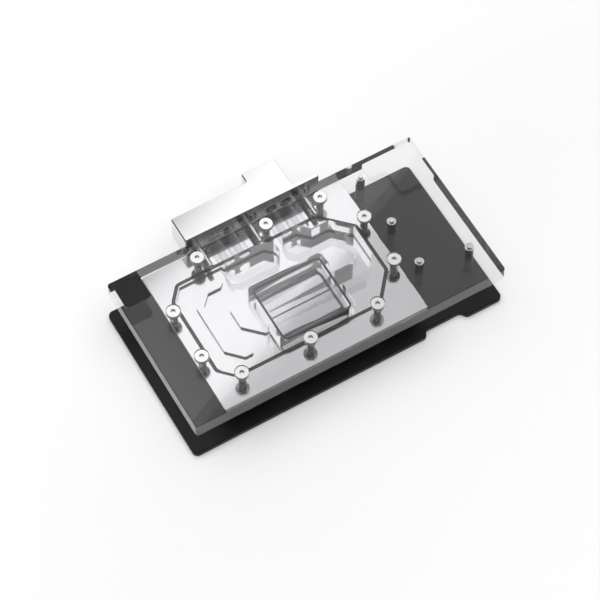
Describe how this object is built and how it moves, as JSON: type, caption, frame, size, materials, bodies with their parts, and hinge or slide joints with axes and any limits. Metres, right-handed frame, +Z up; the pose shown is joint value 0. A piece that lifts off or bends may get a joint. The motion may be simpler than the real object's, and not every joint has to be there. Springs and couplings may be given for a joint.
{
  "type": "gpu water block",
  "caption": "Liquid-cooling block for a graphics card: clear milled cover on a metal cold plate, port terminal along the back edge, black backplate on posts below.",
  "frame": {"origin": "middle of the part's box in plan, on the plane that the backplate stands on", "axes": "+X along the block to the end with the posts, +Y towards the port terminal, +Z up from the backplate to the clear cover"},
  "size_m": [0.1864, 0.1194, 0.034],
  "materials": {
    "clear_acrylic": "polished clear acrylic",
    "nickel_plate": "satin nickel plating on copper",
    "terminal_metal": "satin nickel plating",
    "insert_metal": "bright plated insert",
    "screw_steel": "turned stainless steel",
    "seal_rubber": "matt black rubber",
    "black_anodised": "black anodised, fine matt",
    "badge_black": "black plate, bare"
  },
  "bodies": {
    "root": {"acrylic_cover": "clear_acrylic", "flow_insert": "clear_acrylic", "badge_plate": "badge_black", "cold_plate": "nickel_plate", "jet_plate": "nickel_plate", "main_seal": "seal_rubber", "insert_seal": "seal_rubber", "port_seal_left": "seal_rubber", "port_seal_right": "seal_rubber", "cover_screw_1": "screw_steel", "cover_screw_2": "screw_steel", "cover_screw_3": "screw_steel", "cover_screw_4": "screw_steel", "cover_screw_5": "screw_steel", "cover_screw_6": "screw_steel", "cover_screw_7": "screw_steel", "cover_screw_8": "screw_steel", "cover_screw_9": "screw_steel", "cover_screw_10": "screw_steel", "port_terminal": "terminal_metal", "terminal_screw_1": "screw_steel", "terminal_screw_2": "screw_steel", "terminal_screw_3": "screw_steel", "cover_insert_1": "insert_metal", "cover_insert_2": "insert_metal", "cover_insert_3": "insert_metal", "cover_insert_4": "insert_metal", "cover_spacer_1": "black_anodised", "cover_spacer_2": "black_anodised", "cover_spacer_3": "black_anodised", "cover_spacer_4": "black_anodised", "spacer_screw_1": "screw_steel", "spacer_screw_2": "screw_steel", "spacer_screw_3": "screw_steel", "spacer_screw_4": "screw_steel", "gpu_post_1": "insert_metal", "gpu_post_2": "insert_metal", "gpu_post_3": "insert_metal", "gpu_post_4": "insert_metal", "gpu_screw_1": "screw_steel", "gpu_screw_2": "screw_steel", "gpu_screw_3": "screw_steel", "gpu_screw_4": "screw_steel", "backplate": "black_anodised"}
  },
  "joints": []
}
